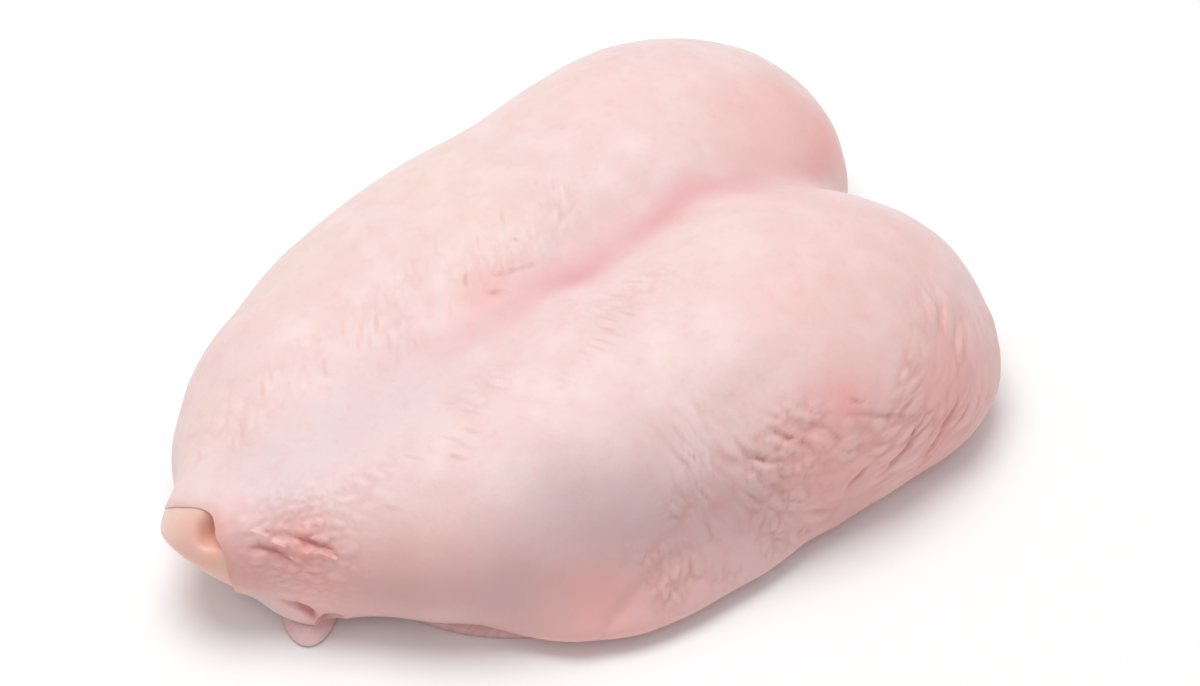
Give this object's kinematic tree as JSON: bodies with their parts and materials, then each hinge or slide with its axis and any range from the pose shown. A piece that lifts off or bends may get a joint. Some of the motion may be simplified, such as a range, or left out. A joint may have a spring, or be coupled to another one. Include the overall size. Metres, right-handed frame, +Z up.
{
  "type": "raw chicken breast",
  "caption": "Raw skin-on double breast lying skin side up: a rounded lobe on each side of a central valley, tapering to a bare cartilage tip at the tail.",
  "frame": {"origin": "on the surface that the breast lies on, under the middle of its outline seen from above", "axes": "+X along the breastbone from the tail to the neck, +Y across to the far lobe, +Z up, out of the skin side"},
  "size_m": [0.2037, 0.1448, 0.0507],
  "materials": {
    "skin": "moist, thin, slightly translucent pink skin",
    "flesh": "wet raw flesh",
    "cartilage": "wet cartilage and fat"
  },
  "bodies": {
    "root": {"breast": "skin", "rib_flesh": "flesh", "keel_tip": "cartilage"}
  },
  "joints": []
}
